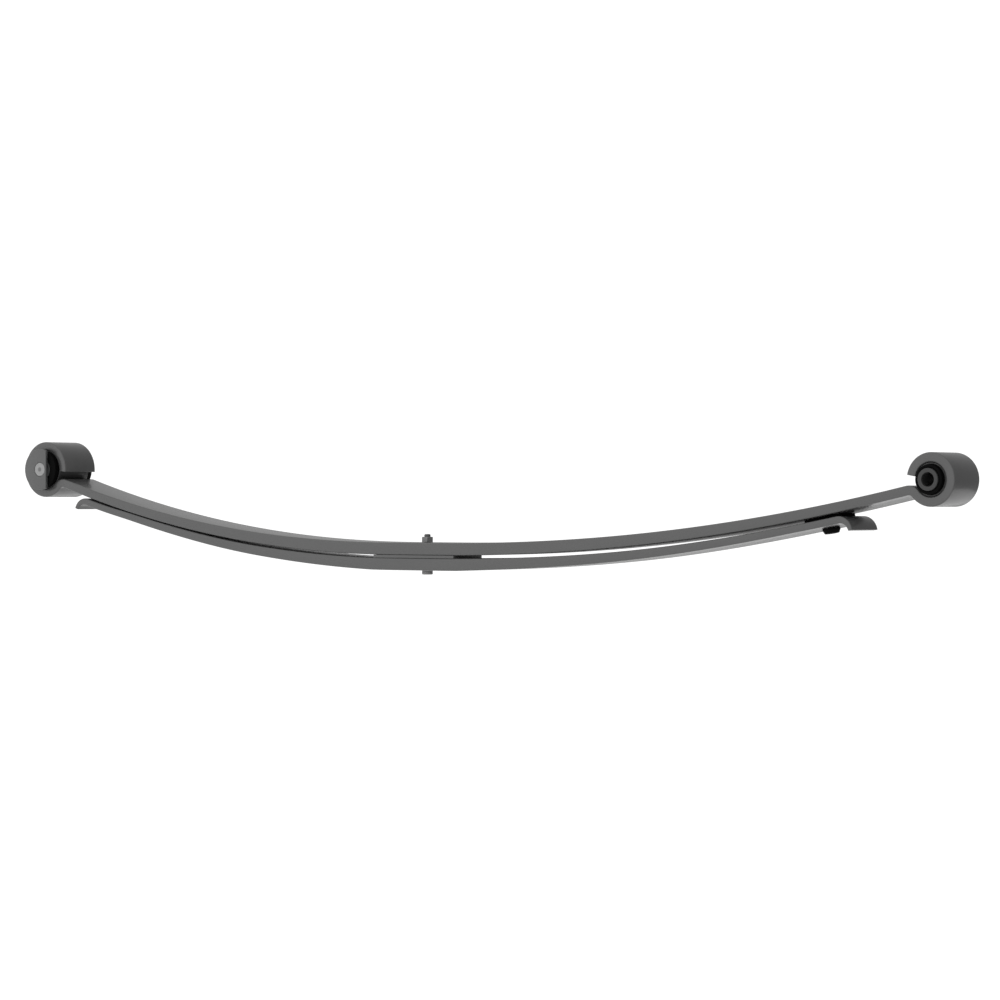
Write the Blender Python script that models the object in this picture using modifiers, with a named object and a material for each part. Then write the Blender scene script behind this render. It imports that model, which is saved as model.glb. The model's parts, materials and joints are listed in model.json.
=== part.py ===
"""Two-leaf parabolic spring with a rubber-bushed eye at each end, in metres, +Z up.

The origin is on the centre bolt's axis, in the underside of the second leaf, where the
axle seat bears. X runs along the spring, with the front eye at -X and the rear eye at
+X. Y runs across it. Each arm is drawn in its own plane of (distance out from the
centre bolt, height), and the front arm is then mirrored to -X.
"""

import math
from dataclasses import dataclass

import bmesh
import bpy
from mathutils import Matrix, Vector

# Clearances: pieces that touch keep GAP, and a turned pin keeps GAP all round in its hole
GAP = 0.0003

# Leaves
LEAF_WIDTH = 0.070
LEAF_EDGE_ROUND = 0.0020
SEAT_HALF_LENGTH = 0.040
CURVE_POWER = 2.1
TAPER_START = 0.080
MAIN_SEAT_THICKNESS = 0.0185
MAIN_EYE_THICKNESS = 0.0134
MAIN_TAPER_POWER = 1.2
SECOND_SEAT_THICKNESS = 0.0183
SECOND_TIP_THICKNESS = 0.0105
SECOND_TAPER_POWER = 0.85
SECOND_TAPER_END = 0.650
STEPS_ALONG_ARM = 26
DEGREES_PER_STEP = 7.5

# Centre spacer between the leaves
SPACER_LENGTH = 0.150
SPACER_THICKNESS = 0.0038
SPACER_EDGE_ROUND = 0.0008

# Centre bolt and nut
BOLT_RADIUS = 0.005
BOLT_HEAD_RADIUS = 0.008
BOLT_HEAD_HEIGHT = 0.0063
BOLT_HEAD_CHAMFER = 0.0008
BOLT_END_CHAMFER = 0.0016
BOLT_END_BEYOND_NUT = 0.0043
NUT_ACROSS_FLATS = 0.016
NUT_HEIGHT = 0.008
NUT_CHAMFER = 0.0009
NUT_TURN = math.radians(36)

# Eyes: the leaf end turns down round BEND_RADIUS, under the eye and back over the top
BEND_RADIUS = 0.008
EYE_TAPER_MARGIN = 0.070
FRONT_EYE_RADIUS = 0.0445
REAR_EYE_RADIUS = 0.0365

# Tips of the second leaf, turned down round CURL_RADIUS, and their anti-noise pads
CURL_RADIUS = 0.022
CURL_END_THICKNESS = 0.007
PAD_LENGTH = 0.056
PAD_WIDTH = 0.040
PAD_EDGE_ROUND = 0.0006
STUD_INSET = 0.029
STUD_NECK_RADIUS = 0.0067
STUD_HEAD_RADIUS = 0.0124
STUD_END_RADIUS = 0.0100

# Bushes, each turned about its eye's axis
OUTER_SLEEVE_WALL = 0.0023
OUTER_SLEEVE_INSET = 0.0017
SLEEVE_CHAMFER = 0.0008
RUBBER_CHAMFER = 0.0012
FRONT_INNER_RADIUS = 0.0170
FRONT_BORE_RADIUS = 0.0113
FRONT_INNER_PROUD = 0.0077
FRONT_FLANGE_INSET = 0.0011
REAR_INNER_RADIUS = 0.0152
REAR_BORE_RADIUS = 0.0094
REAR_INNER_PROUD = 0.0076
REAR_RUBBER_PROUD = 0.0055

# Retaining plates and pin of the front bush
PLATE_RADIUS = 0.033
PLATE_FLAT_MARGIN = 0.0022
PLATE_THICKNESS = 0.005
PLATE_EDGE_ROUND = 0.0008
PIN_CHAMFER = 0.0006
PIN_MARK_RADIUS = 0.0035
PIN_MARK_DEPTH = 0.0015

TURNED_STEPS = 48

# Stack of the centre, from the axle seat up
SPACER_BOTTOM = SECOND_SEAT_THICKNESS + GAP
MAIN_BOTTOM = SPACER_BOTTOM + SPACER_THICKNESS + GAP
MAIN_TOP = MAIN_BOTTOM + MAIN_SEAT_THICKNESS
SEAT_LEAF_GAP = SPACER_THICKNESS + 2 * GAP
HALF_WIDTH = LEAF_WIDTH / 2


@dataclass
class Arm:
    """Half of the spring. rise is the main leaf's height gained at reach, eye_lift is how
    far the eye's centre lies above the leaf's top there, and roll_end is the angle where
    the rolled eye stops, measured from straight outwards. The second leaf's tip starts to
    turn down tip_setback short of the eye's centre, and turns by curl_turn. Its pad ends
    pad_overhang beyond that. leaf_gaps are (distance out, gap between the leaves)."""

    name: str
    sign: int
    reach: float
    rise: float
    eye_lift: float
    eye_radius: float
    roll_end: float
    tip_setback: float
    curl_turn: float
    pad_overhang: float
    stud_head_height: float
    leaf_gaps: tuple

    @property
    def eye(self):
        return Vector((self.reach, MAIN_TOP + self.rise + self.eye_lift))

    @property
    def bore_radius(self):
        return self.eye_radius - MAIN_EYE_THICKNESS

    @property
    def curl_start(self):
        return self.reach - self.tip_setback

    @property
    def pad_end(self):
        return self.curl_start + self.pad_overhang


FRONT = Arm(
    name="front",
    sign=-1,
    reach=0.753,
    rise=0.1096,
    eye_lift=0.0027,
    eye_radius=FRONT_EYE_RADIUS,
    roll_end=math.radians(185),
    tip_setback=0.0965,
    curl_turn=math.radians(88),
    pad_overhang=0.0025,
    stud_head_height=0.0045,
    leaf_gaps=((TAPER_START, SEAT_LEAF_GAP), (0.300, 0.0036), (0.560, 0.0012), (0.640, 0.0028)),
)
REAR = Arm(
    name="rear",
    sign=1,
    reach=0.868,
    rise=0.0905,
    eye_lift=-0.0002,
    eye_radius=REAR_EYE_RADIUS,
    roll_end=math.radians(170),
    tip_setback=0.1485,
    curl_turn=math.radians(92),
    pad_overhang=-0.001,
    stud_head_height=0.0074,
    leaf_gaps=((TAPER_START, SEAT_LEAF_GAP), (0.400, 0.0058), (0.640, 0.0050)),
)
ARMS = (FRONT, REAR)


def clamp(value):
    return min(1.0, max(0.0, value))


def leaf_top(arm, out):
    """The point on the main leaf's top at this distance out."""
    run = max(0.0, out - SEAT_HALF_LENGTH) / (arm.reach - SEAT_HALF_LENGTH)
    return Vector((out, MAIN_TOP + arm.rise * run**CURVE_POWER))


def downward(arm, out):
    """The unit vector square to the leaf's top, pointing down."""
    length = arm.reach - SEAT_HALF_LENGTH
    run = max(0.0, out - SEAT_HALF_LENGTH) / length
    slope = arm.rise * CURVE_POWER * run ** (CURVE_POWER - 1) / length
    return Vector((slope, -1)).normalized()


def below_top(arm, out, depth):
    return leaf_top(arm, out) + downward(arm, out) * depth


def tapered(out, start, end, thick, thin, power):
    return thick + (thin - thick) * clamp((out - start) / (end - start)) ** power


def main_thickness(arm, out):
    end = arm.reach - EYE_TAPER_MARGIN
    return tapered(out, TAPER_START, end, MAIN_SEAT_THICKNESS, MAIN_EYE_THICKNESS, MAIN_TAPER_POWER)


def second_thickness(out):
    return tapered(
        out,
        TAPER_START,
        SECOND_TAPER_END,
        SECOND_SEAT_THICKNESS,
        SECOND_TIP_THICKNESS,
        SECOND_TAPER_POWER,
    )


def leaf_gap(arm, out):
    """The gap between the leaves, eased from each of the arm's stations to the next."""
    (here, gap), *following = arm.leaf_gaps
    for there, next_gap in following:
        run = clamp((out - here) / (there - here))
        gap += (next_gap - gap) * run * run * (3 - 2 * run)
        here = there
    return gap


def second_top_depth(arm, out):
    return main_thickness(arm, out) + leaf_gap(arm, out)


def stations(start, end):
    """Distances out from start to end, both included."""
    return [start + (end - start) * i / STEPS_ALONG_ARM for i in range(STEPS_ALONG_ARM + 1)]


def arc(centre, radius, start, end, end_radius=None):
    """Points on an arc, whose radius may change evenly to end_radius."""
    end_radius = radius if end_radius is None else end_radius
    count = max(2, math.ceil(abs(math.degrees(end - start)) / DEGREES_PER_STEP))
    points = []
    for i in range(count + 1):
        share = i / count
        angle = start + (end - start) * share
        reach = radius + (end_radius - radius) * share
        points.append(centre + reach * Vector((math.cos(angle), math.sin(angle))))
    return points


def angle_of(vector):
    return math.atan2(vector.y, vector.x)


def eye_bend(arm):
    """How far out the main leaf starts to turn down into its eye, and that bend's centre."""
    near, far = arm.reach - 2.5 * arm.eye_radius, arm.reach
    for _ in range(60):
        out = (near + far) / 2
        centre = below_top(arm, out, MAIN_EYE_THICKNESS + BEND_RADIUS)
        if (centre - arm.eye).length > arm.eye_radius + BEND_RADIUS:
            near = out
        else:
            far = out
    return out, centre


def main_arm_outline(arm):
    """The arm's edge from the seat's top out round the eye and back to the seat's underside."""
    start, bend = eye_bend(arm)
    upward = angle_of(-downward(arm, start))
    to_eye = angle_of(arm.eye - bend)
    from_eye = to_eye + math.pi
    roll_end = arm.roll_end + 2 * math.pi
    along = stations(SEAT_HALF_LENGTH, start)
    top = [leaf_top(arm, out) for out in along]
    underside = [below_top(arm, out, main_thickness(arm, out)) for out in along]
    over_bend = arc(bend, BEND_RADIUS + MAIN_EYE_THICKNESS, upward, to_eye)
    bore = arc(arm.eye, arm.bore_radius, from_eye, roll_end)
    outside = arc(arm.eye, arm.eye_radius, roll_end, from_eye)
    under_bend = arc(bend, BEND_RADIUS, to_eye, upward)
    ahead = top + over_bend[1:] + bore[1:]
    back = outside + under_bend[1:] + underside[::-1][1:]
    return ahead + back


def second_arm_outline(arm):
    """The same for the second leaf, whose tip curls down."""
    along = stations(SEAT_HALF_LENGTH, arm.curl_start)
    top = [below_top(arm, out, second_top_depth(arm, out)) for out in along]
    underside = [
        below_top(arm, out, second_top_depth(arm, out) + second_thickness(out))
        for out in along
    ]
    down = downward(arm, arm.curl_start)
    curl = top[-1] + down * CURL_RADIUS
    upward = angle_of(-down)
    turned = upward - arm.curl_turn
    outside = arc(curl, CURL_RADIUS, upward, turned)
    inner_start = CURL_RADIUS - second_thickness(arm.curl_start)
    inner_end = CURL_RADIUS - CURL_END_THICKNESS
    inside = arc(curl, inner_end, turned, upward, inner_start)
    return top + outside[1:] + inside + underside[::-1][1:]


def placed(arm, points):
    """An arm's points as (x, z)."""
    return [(arm.sign * point.x, point.y) for point in points]


def both_arms(outline):
    """A leaf's whole outline from the outline of each arm."""
    return placed(REAR, outline(REAR)) + placed(FRONT, outline(FRONT))[::-1]


def add_material(name, colour, roughness, metallic):
    material = bpy.data.materials.new(name)
    material.use_nodes = True
    shader = material.node_tree.nodes["Principled BSDF"]
    shader.inputs["Base Color"].default_value = (*colour, 1.0)
    shader.inputs["Roughness"].default_value = roughness
    shader.inputs["Metallic"].default_value = metallic
    return material


def add_collection(name):
    collection = bpy.data.collections.new(name)
    bpy.context.scene.collection.children.link(collection)
    return collection


def add_object(name, mesh, collection, material=None):
    piece = bpy.data.objects.new(name, mesh)
    collection.objects.link(piece)
    if material:
        mesh.materials.append(material)
    return piece


def add_plate(name, outline, thickness, edge_round, material):
    """A solid of this (x, z) outline, centred on y = 0, with rounded edges."""
    curve = bpy.data.curves.new(name, "CURVE")
    curve.dimensions = "2D"
    curve.fill_mode = "BOTH"
    curve.extrude = thickness / 2
    spline = curve.splines.new("POLY")
    spline.points.add(len(outline) - 1)
    for point, (x, z) in zip(spline.points, outline):
        point.co = (x, z, 0, 1)
    spline.use_cyclic_u = True
    guide = bpy.data.objects.new(name, curve)
    guide.matrix_world = Matrix.Rotation(math.pi / 2, 4, "X")
    PARTS.objects.link(guide)
    bpy.context.view_layer.update()
    graph = bpy.context.evaluated_depsgraph_get()
    mesh = bpy.data.meshes.new_from_object(guide.evaluated_get(graph))
    place = guide.matrix_world.copy()
    bpy.data.objects.remove(guide)
    bpy.data.curves.remove(curve)
    flat = bmesh.new()
    flat.from_mesh(mesh)
    flat.transform(place)
    bmesh.ops.remove_doubles(flat, verts=flat.verts, dist=1e-6)
    caps = [face for face in flat.faces if abs(face.normal.y) > 0.9]
    rims = {edge for face in caps for edge in face.edges}
    inner = {edge for edge in rims if all(face in caps for face in edge.link_faces)}
    bmesh.ops.dissolve_edges(flat, edges=list(inner), use_verts=False)
    bmesh.ops.recalc_face_normals(flat, faces=flat.faces)
    flat.to_mesh(mesh)
    flat.free()
    mesh.materials.clear()
    piece = add_object(name, mesh, PARTS, material)
    rounding = piece.modifiers.new("rounded edges", "BEVEL")
    rounding.width = edge_round
    rounding.segments = 2
    rounding.limit_method = "ANGLE"
    rounding.angle_limit = math.radians(50)
    return piece


def across(arm, y=0.0):
    """The arm's eye axis as an object's place: local Z runs along world Y from this y."""
    turn = Matrix.Rotation(-math.pi / 2, 4, "X")
    return Matrix.Translation((arm.sign * arm.eye.x, y, arm.eye.y)) @ turn


def add_turned(name, profile, place, collection, material=None):
    """A piece turned about local Z. profile is (radius, height) down its outer side; it
    closes on itself unless both its ends are on the axis."""
    solid = profile[0][0] == 0
    count = len(profile)
    edges = [(i, (i + 1) % count) for i in range(count - (1 if solid else 0))]
    mesh = bpy.data.meshes.new(name)
    mesh.from_pydata([(radius, 0, height) for radius, height in profile], edges, [])
    piece = add_object(name, mesh, collection, material)
    piece.matrix_world = place
    screw = piece.modifiers.new("turn", "SCREW")
    screw.axis = "Z"
    screw.angle = math.tau
    screw.steps = screw.render_steps = TURNED_STEPS
    screw.use_merge_vertices = True
    screw.merge_threshold = 1e-5
    screw.use_smooth_shade = True
    return piece


def add_cutter(name, radius, low, high, place):
    profile = [(0, high), (radius, high), (radius, low), (0, low)]
    cutter = add_turned(name, profile, place, CUTTERS)
    cutter.hide_render = True
    cutter.display_type = "WIRE"
    return cutter


def combine(piece, other, operation):
    boolean = piece.modifiers.new(f"{operation} {other.name}", "BOOLEAN")
    boolean.operation = operation
    boolean.object = other


def tube_profile(outer, inner, half, chamfer):
    """A tube's section, its chamfers limited by its wall."""
    chamfer = min(chamfer, 0.4 * (outer - inner))
    return [
        (outer - chamfer, half),
        (outer, half - chamfer),
        (outer, chamfer - half),
        (outer - chamfer, -half),
        (inner + chamfer, -half),
        (inner, chamfer - half),
        (inner, half - chamfer),
        (inner + chamfer, half),
    ]


def add_hex(name, across_flats, low, high, place, collection, material=None):
    mesh = bpy.data.meshes.new(name)
    prism = bmesh.new()
    corner = across_flats / 2 / math.cos(math.pi / 6)
    bmesh.ops.create_cone(
        prism,
        segments=6,
        radius1=corner,
        radius2=corner,
        depth=high - low,
        cap_ends=True,
        matrix=Matrix.Translation((0, 0, (low + high) / 2)),
    )
    prism.to_mesh(mesh)
    prism.free()
    piece = add_object(name, mesh, collection, material)
    piece.matrix_world = place
    return piece


def add_hex_nut(name, across_flats, height, chamfer, hole_radius, place, material):
    """A nut from local z = 0 up, its corners cut back at both ends."""
    nut = add_hex(name, across_flats, 0, height, place, PARTS, material)
    corner = across_flats / 2 / math.cos(math.pi / 6)
    blank_profile = [
        (0, height),
        (corner - 2 * chamfer, height),
        (corner, height - chamfer),
        (corner, chamfer),
        (corner - 2 * chamfer, 0),
        (0, 0),
    ]
    blank = add_turned(f"{name}_blank", blank_profile, place, CUTTERS)
    blank.hide_render = True
    blank.display_type = "WIRE"
    combine(nut, blank, "INTERSECT")
    bore = add_cutter(f"{name}_bore", hole_radius, -height, 2 * height, place)
    combine(nut, bore, "DIFFERENCE")
    return nut


def clear_scene():
    for leftover in list(bpy.data.objects):
        bpy.data.objects.remove(leftover, do_unlink=True)


def build_leaves(paint):
    main, second = (
        add_plate(name, both_arms(outline), LEAF_WIDTH, LEAF_EDGE_ROUND, paint)
        for name, outline in (
            ("main_leaf", main_arm_outline),
            ("second_leaf", second_arm_outline),
        )
    )
    hole = add_cutter("centre_hole", BOLT_RADIUS + GAP, -MAIN_TOP, 2 * MAIN_TOP, Matrix())
    combine(main, hole, "DIFFERENCE")
    combine(second, hole, "DIFFERENCE")
    half, low, high = SPACER_LENGTH / 2, SPACER_BOTTOM, SPACER_BOTTOM + SPACER_THICKNESS
    outline = [(-half, low), (half, low), (half, high), (-half, high)]
    spacer = add_plate("centre_spacer", outline, LEAF_WIDTH, SPACER_EDGE_ROUND, paint)
    combine(spacer, hole, "DIFFERENCE")
    return second


def build_centre_bolt(steel):
    head_top, head_bottom = -GAP, -GAP - BOLT_HEAD_HEIGHT
    nut_bottom = MAIN_TOP + GAP
    end = nut_bottom + NUT_HEIGHT + BOLT_END_BEYOND_NUT
    profile = [
        (0, end),
        (BOLT_RADIUS - BOLT_END_CHAMFER, end),
        (BOLT_RADIUS, end - BOLT_END_CHAMFER),
        (BOLT_RADIUS, head_top),
        (BOLT_HEAD_RADIUS, head_top),
        (BOLT_HEAD_RADIUS, head_bottom + BOLT_HEAD_CHAMFER),
        (BOLT_HEAD_RADIUS - BOLT_HEAD_CHAMFER, head_bottom),
        (0, head_bottom),
    ]
    add_turned("centre_bolt", profile, Matrix(), PARTS, steel)
    add_hex_nut(
        "centre_nut",
        NUT_ACROSS_FLATS,
        NUT_HEIGHT,
        NUT_CHAMFER,
        BOLT_RADIUS + GAP,
        Matrix.Translation((0, 0, nut_bottom)) @ Matrix.Rotation(NUT_TURN, 4, "Z"),
        steel,
    )


def build_tip_pad(arm, second, rubber):
    """The pad fills the gap between the leaves, and its stud is pushed through the second
    leaf and spreads below it."""
    start = arm.pad_end - PAD_LENGTH
    along = [start + PAD_LENGTH * i / 8 for i in range(9)]
    top = [below_top(arm, out, main_thickness(arm, out) + GAP) for out in along]
    bottom = [below_top(arm, out, second_top_depth(arm, out) - GAP) for out in along]
    outline = placed(arm, top + bottom[::-1])
    pad = add_plate(f"{arm.name}_tip_pad", outline, PAD_WIDTH, PAD_EDGE_ROUND, rubber)

    out = arm.curl_start - STUD_INSET
    down = downward(arm, out)
    foot = below_top(arm, out, second_top_depth(arm, out))
    axis = Vector((-arm.sign * down.x, 0, -down.y))
    turn = axis.to_track_quat("Z", "Y").to_matrix().to_4x4()
    place = Matrix.Translation((arm.sign * foot.x, 0, foot.y)) @ turn
    leaf = second_thickness(out)
    head_top = -leaf - GAP
    head_bottom = head_top - arm.stud_head_height
    profile = [
        (0, leaf_gap(arm, out) / 2),
        (STUD_NECK_RADIUS, leaf_gap(arm, out) / 2),
        (STUD_NECK_RADIUS, head_top),
        (STUD_HEAD_RADIUS, head_top),
        (STUD_HEAD_RADIUS, (2 * head_top + head_bottom) / 3),
        (STUD_END_RADIUS, head_bottom),
        (0, head_bottom),
    ]
    stud = add_turned(f"{arm.name}_stud", profile, place, CUTTERS)
    stud.hide_render = True
    stud.display_type = "WIRE"
    combine(pad, stud, "UNION")
    hole = add_cutter(
        f"{arm.name}_stud_hole", STUD_NECK_RADIUS + GAP, -2 * leaf, leaf, place
    )
    combine(second, hole, "DIFFERENCE")


def plain_rubber(outer, inner, half):
    return tube_profile(outer, inner, half, RUBBER_CHAMFER)


def flanged_rubber(outer, inner, half):
    """As above, with a flange at each end that starts a gap beyond the outer sleeve."""
    shoulder = HALF_WIDTH - OUTER_SLEEVE_INSET + GAP
    flange, chamfer = FRONT.bore_radius - FRONT_FLANGE_INSET, RUBBER_CHAMFER
    return [
        (flange - chamfer, half),
        (flange, half - chamfer),
        (flange, shoulder),
        (outer, shoulder),
        (outer, -shoulder),
        (flange, -shoulder),
        (flange, chamfer - half),
        (flange - chamfer, -half),
        (inner, -half),
        (inner, half),
    ]


def build_bush(arm, inner_radius, bore_radius, inner_proud, rubber_profile, rubber_proud):
    """Outer sleeve pressed in the eye, rubber bonded inside it and the inner sleeve in that."""
    place = across(arm)
    outer = arm.bore_radius - GAP
    wall, half = OUTER_SLEEVE_WALL, HALF_WIDTH - OUTER_SLEEVE_INSET
    outer_profile = tube_profile(outer, outer - wall, half, SLEEVE_CHAMFER)
    add_turned(f"{arm.name}_bush_outer_sleeve", outer_profile, place, PARTS, sleeve_steel)
    rubber = rubber_profile(outer - wall - GAP, inner_radius + GAP, HALF_WIDTH + rubber_proud)
    add_turned(f"{arm.name}_bush_rubber", rubber, place, PARTS, bush_rubber)
    inner = tube_profile(inner_radius, bore_radius, HALF_WIDTH + inner_proud, SLEEVE_CHAMFER)
    add_turned(f"{arm.name}_bush_inner_sleeve", inner, place, PARTS, sleeve_steel)


def plate_outline():
    """A disc about its own centre, with a flat on its inner side."""
    flat = math.acos((FRONT_BORE_RADIUS + PLATE_FLAT_MARGIN) / PLATE_RADIUS)
    return [(p.x, p.y) for p in arc(Vector((0, 0)), PLATE_RADIUS, flat, math.tau - flat)]


def build_front_plates(paint, steel):
    """Two D-shaped plates held on the ends of the front inner sleeve by a pin through it."""
    pin_radius = FRONT_BORE_RADIUS - GAP
    inside = HALF_WIDTH + FRONT_INNER_PROUD + GAP
    end = inside + PLATE_THICKNESS
    place = across(FRONT)
    hole = add_cutter("pin_hole", FRONT_BORE_RADIUS, -2 * end, 2 * end, place)
    for name, side in (("front_near_plate", -1), ("front_far_plate", 1)):
        plate = add_plate(name, plate_outline(), PLATE_THICKNESS, PLATE_EDGE_ROUND, paint)
        middle = side * (inside + PLATE_THICKNESS / 2)
        plate.location = (FRONT.sign * FRONT.eye.x, middle, FRONT.eye.y)
        combine(plate, hole, "DIFFERENCE")
    profile = [
        (0, end - PIN_MARK_DEPTH),
        (PIN_MARK_RADIUS, end),
        (pin_radius - PIN_CHAMFER, end),
        (pin_radius, end - PIN_CHAMFER),
        (pin_radius, PIN_CHAMFER - end),
        (pin_radius - PIN_CHAMFER, -end),
        (PIN_MARK_RADIUS, -end),
        (0, PIN_MARK_DEPTH - end),
    ]
    add_turned("front_pin", profile, place, PARTS, steel)


clear_scene()
PARTS = add_collection("leaf_spring")
CUTTERS = add_collection("leaf_spring_cutters")
CUTTERS.hide_render = True
leaf_paint = add_material("leaf_paint", (0.15, 0.15, 0.155), 0.38, 0.0)
sleeve_steel = add_material("sleeve_steel", (0.06, 0.06, 0.062), 0.45, 0.6)
bush_rubber = add_material("bush_rubber", (0.006, 0.006, 0.006), 0.6, 0.0)
bolt_steel = add_material("bolt_steel", (0.14, 0.14, 0.14), 0.4, 0.8)
pin_steel = add_material("pin_steel", (0.45, 0.45, 0.45), 0.35, 0.9)

second_leaf = build_leaves(leaf_paint)
build_centre_bolt(bolt_steel)
for spring_arm in ARMS:
    build_tip_pad(spring_arm, second_leaf, bush_rubber)
build_bush(
    FRONT,
    FRONT_INNER_RADIUS,
    FRONT_BORE_RADIUS,
    FRONT_INNER_PROUD,
    flanged_rubber,
    FRONT_INNER_PROUD,
)
build_bush(
    REAR,
    REAR_INNER_RADIUS,
    REAR_BORE_RADIUS,
    REAR_INNER_PROUD,
    plain_rubber,
    REAR_RUBBER_PROUD,
)
build_front_plates(leaf_paint, pin_steel)
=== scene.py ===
import json
import math

import bmesh
import bpy
from mathutils import Matrix, Vector


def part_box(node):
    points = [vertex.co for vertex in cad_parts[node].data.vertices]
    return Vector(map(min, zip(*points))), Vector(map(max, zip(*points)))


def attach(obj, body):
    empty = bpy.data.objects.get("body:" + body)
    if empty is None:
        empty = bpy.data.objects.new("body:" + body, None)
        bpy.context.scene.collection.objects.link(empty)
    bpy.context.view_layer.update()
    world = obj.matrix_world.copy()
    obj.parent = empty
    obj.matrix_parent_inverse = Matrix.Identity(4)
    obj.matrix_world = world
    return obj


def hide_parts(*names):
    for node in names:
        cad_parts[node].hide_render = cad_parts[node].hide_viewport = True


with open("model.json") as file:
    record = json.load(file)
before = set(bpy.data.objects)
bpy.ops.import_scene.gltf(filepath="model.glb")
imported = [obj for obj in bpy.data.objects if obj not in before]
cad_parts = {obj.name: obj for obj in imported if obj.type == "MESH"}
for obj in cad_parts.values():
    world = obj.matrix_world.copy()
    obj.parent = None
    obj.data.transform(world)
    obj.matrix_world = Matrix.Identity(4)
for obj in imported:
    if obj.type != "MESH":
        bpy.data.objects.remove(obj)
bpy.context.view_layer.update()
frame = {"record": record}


# --- Camera, floor and studio light ---------------------------------------------------
# The spring hangs by its middle, as when an axle holds it, over a plain white floor of
# acrylic that is lit a little from below, with a soft panel above it.

CAMERA_PLACE = (3.00905, -3.89070, 0.1043)
CAMERA_TURN = math.radians(36.46)
CAMERA_LENS = 118.97
FLOOR_HEIGHT = -0.42
FLOOR_HALF = 1.6
FLOOR_GLOW = 0.28
PANEL_PLACE = (0.4, -0.8, 3.2)
PANEL_AIM = (0, 0, 0.1)
PANEL_SIZE = 3.0
PANEL_POWER = 4

camera_data = bpy.data.cameras.new("camera")
camera_data.lens = CAMERA_LENS
camera_data.clip_end = 200
camera = bpy.data.objects.new("camera", camera_data)
camera.location = CAMERA_PLACE
camera.rotation_euler = (math.radians(90), 0, CAMERA_TURN)
bpy.context.scene.collection.objects.link(camera)
bpy.context.scene.camera = camera
bpy.context.scene.view_settings.view_transform = "Standard"


def linear(hex_colour):
    """An sRGB hex colour as linear RGBA."""
    values = [int(hex_colour[i : i + 2], 16) / 255 for i in (1, 3, 5)]
    return (*[v / 12.92 if v <= 0.04045 else ((v + 0.055) / 1.055) ** 2.4 for v in values], 1.0)


def new_material(name):
    """A material with its node tree and its Principled shader."""
    material = bpy.data.materials.new(name)
    material.use_nodes = True
    tree = material.node_tree
    tree.nodes.clear()
    shader = tree.nodes.new("ShaderNodeBsdfPrincipled")
    output = tree.nodes.new("ShaderNodeOutputMaterial")
    tree.links.new(shader.outputs["BSDF"], output.inputs["Surface"])
    return material, tree, shader


def node(tree, kind, settings=None, **inputs):
    """Adds a node. An input is a value, or an output socket to link. A name's _ is a space,
    and _0 is the input numbered 0."""
    made = tree.nodes.new(kind)
    for key, value in (settings or {}).items():
        setattr(made, key, value)
    for key, value in inputs.items():
        name = int(key[1:]) if key[1:].isdigit() else key.replace("_", " ")
        socket = made.inputs[name]
        if isinstance(value, bpy.types.NodeSocket):
            tree.links.new(value, socket)
        else:
            socket.default_value = value
    return made


floor_mesh = bmesh.new()
bmesh.ops.create_grid(floor_mesh, x_segments=1, y_segments=1, size=FLOOR_HALF)
bmesh.ops.translate(floor_mesh, verts=floor_mesh.verts, vec=(0, 0, FLOOR_HEIGHT))
floor = bpy.data.objects.new("floor", bpy.data.meshes.new("floor"))
floor_mesh.to_mesh(floor.data)
floor_mesh.free()
bpy.context.scene.collection.objects.link(floor)
floor_paint, _, floor_shader = new_material("matt_white_backlit_acrylic")
floor_shader.inputs["Base Color"].default_value = linear("#f7f7f7")
floor_shader.inputs["Roughness"].default_value = 0.9
floor_shader.inputs["Emission Color"].default_value = (1, 1, 1, 1)
floor_shader.inputs["Emission Strength"].default_value = FLOOR_GLOW
floor.data.materials.append(floor_paint)

# The room is brightest on the near side's left and dimmest opposite. The camera itself
# sees a plain white wall.
WALL_BRIGHTNESS = 0.80
CEILING_GAIN = 0.10
RIGHT_GAIN = -0.20
BEHIND_GAIN = -0.52
WHITE_WALL = 1.12

world = bpy.data.worlds.new("studio")
world.use_nodes = True
bpy.context.scene.world = world
room = world.node_tree
direction = node(room, "ShaderNodeTexCoord").outputs["Generated"]
lean = (RIGHT_GAIN, BEHIND_GAIN, CEILING_GAIN)
gain = node(room, "ShaderNodeVectorMath", {"operation": "DOT_PRODUCT"}, _0=direction, _1=lean)
glow = node(room, "ShaderNodeMath", {"operation": "ADD"},
            _0=gain.outputs["Value"], _1=WALL_BRIGHTNESS)
sight = node(room, "ShaderNodeLightPath").outputs["Is Camera Ray"]
seen = node(room, "ShaderNodeMix", Factor=sight, A=glow.outputs["Value"], B=WHITE_WALL)
room.links.new(seen.outputs[0], room.nodes["Background"].inputs["Strength"])
room.nodes["Background"].inputs["Color"].default_value = (1, 1, 1, 1)


def add_panel(name, place, target, size, power):
    """A square soft panel facing a point."""
    lamp = bpy.data.lights.new(name, "AREA")
    lamp.shape = "SQUARE"
    lamp.size = size
    lamp.energy = power
    panel = bpy.data.objects.new(name, lamp)
    panel.location = place
    aim = Vector(target) - Vector(place)
    panel.rotation_euler = aim.to_track_quat("-Z", "Y").to_euler()
    bpy.context.scene.collection.objects.link(panel)


add_panel("overhead_panel", PANEL_PLACE, PANEL_AIM, PANEL_SIZE, PANEL_POWER)


# --- Main leaf ------------------------------------------------------------------------
# A parabolic-rolled bar of spring steel, thick at the axle and thin at the ends. Each end
# is bent down and rolled hot round a mandrel, under and back over the top, into an eye.
# The whole leaf is then shot-peened and painted grey.

X, Y, Z = range(3)


def lowest(cad_node, axis):
    """How low a CAD node reaches along a world axis."""
    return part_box(cad_node)[0][axis]


def highest(cad_node, axis):
    """How high a CAD node reaches along a world axis."""
    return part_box(cad_node)[1][axis]


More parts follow.
